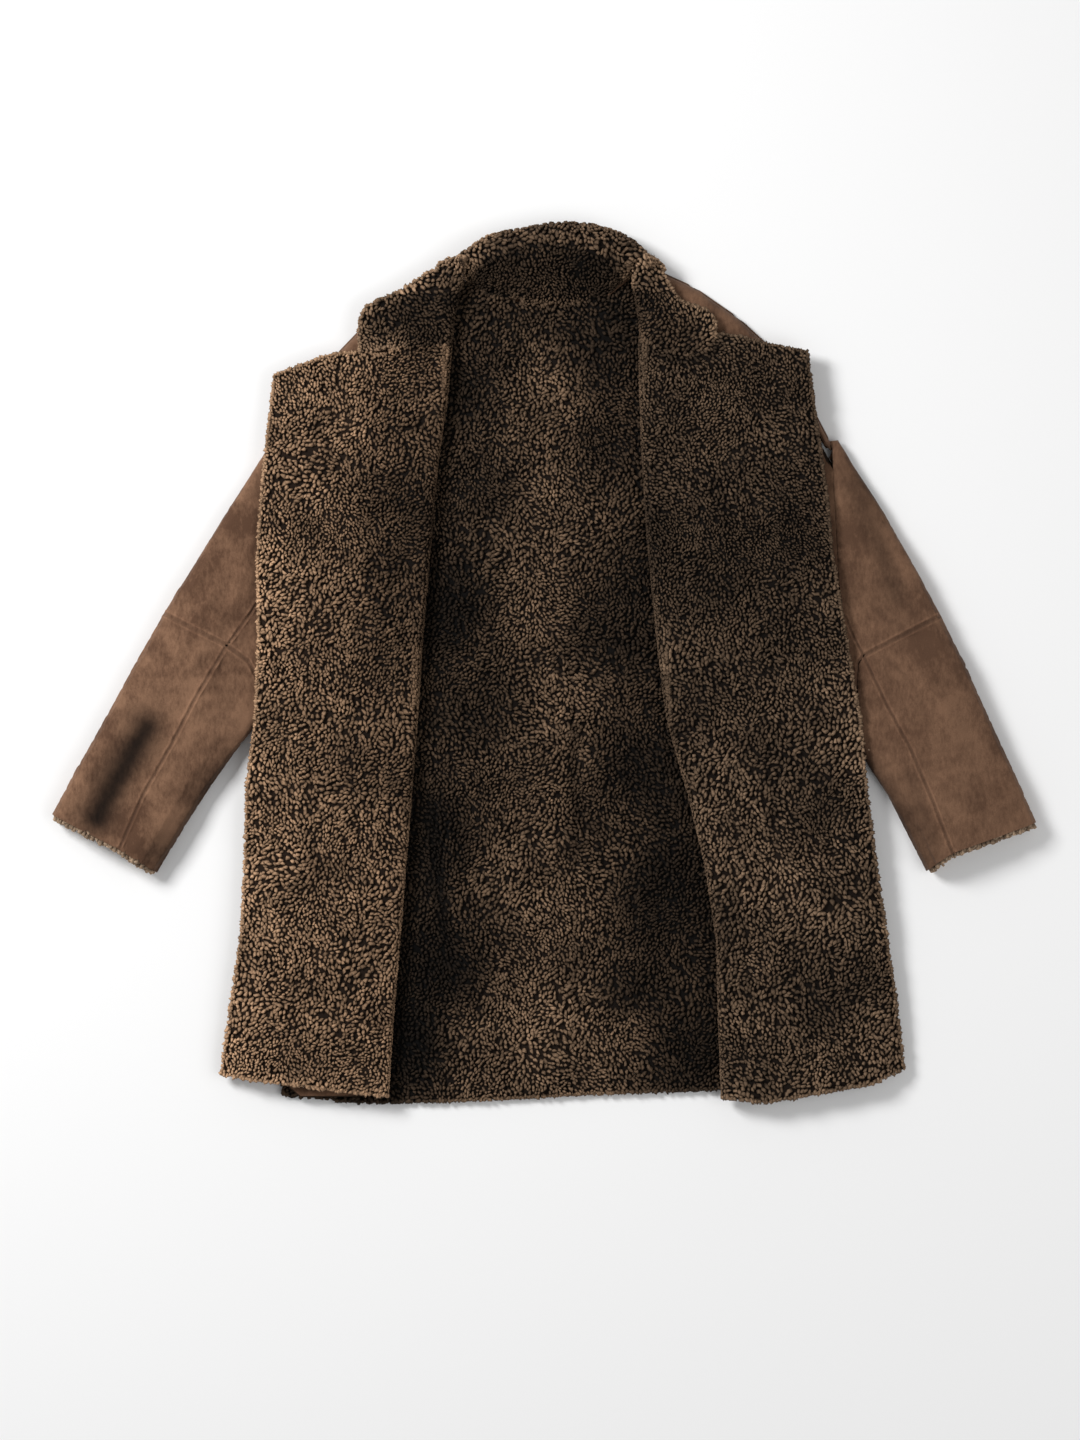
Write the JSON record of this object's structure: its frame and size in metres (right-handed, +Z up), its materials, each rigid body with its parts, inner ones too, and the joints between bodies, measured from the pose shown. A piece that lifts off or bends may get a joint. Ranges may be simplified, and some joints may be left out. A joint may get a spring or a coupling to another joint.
{
  "type": "shearling coat",
  "caption": "Thigh-length sheepskin coat lying open on its back, wool side in, with both fronts turned back and the collar open.",
  "frame": {"origin": "on the surface that the coat lies on, at the middle of its bounding box seen from above", "axes": "+X across the coat towards the right-hand sleeve as seen from above, +Y from hem to collar, +Z up from the surface"},
  "size_m": [1.0834, 0.9707, 0.0421],
  "materials": {
    "wool": "dark brown curly sheepskin wool, matt",
    "suede": "brown suede flesh side, matt with a short nap"
  },
  "bodies": {
    "root": {"back_upper": "wool", "back_lower_left": "wool", "back_lower_right": "wool", "front_left_lower": "wool", "front_left_upper": "wool", "front_right_lower": "wool", "front_right_upper": "wool", "collar": "wool", "sleeve_left_lower_inner": "suede", "sleeve_left_lower_outer": "suede", "sleeve_left_upper_inner": "suede", "sleeve_left_upper_outer": "suede", "sleeve_right_lower_inner": "suede", "sleeve_right_lower_outer": "suede", "sleeve_right_upper_inner": "suede", "sleeve_right_upper_outer": "suede"}
  },
  "joints": []
}
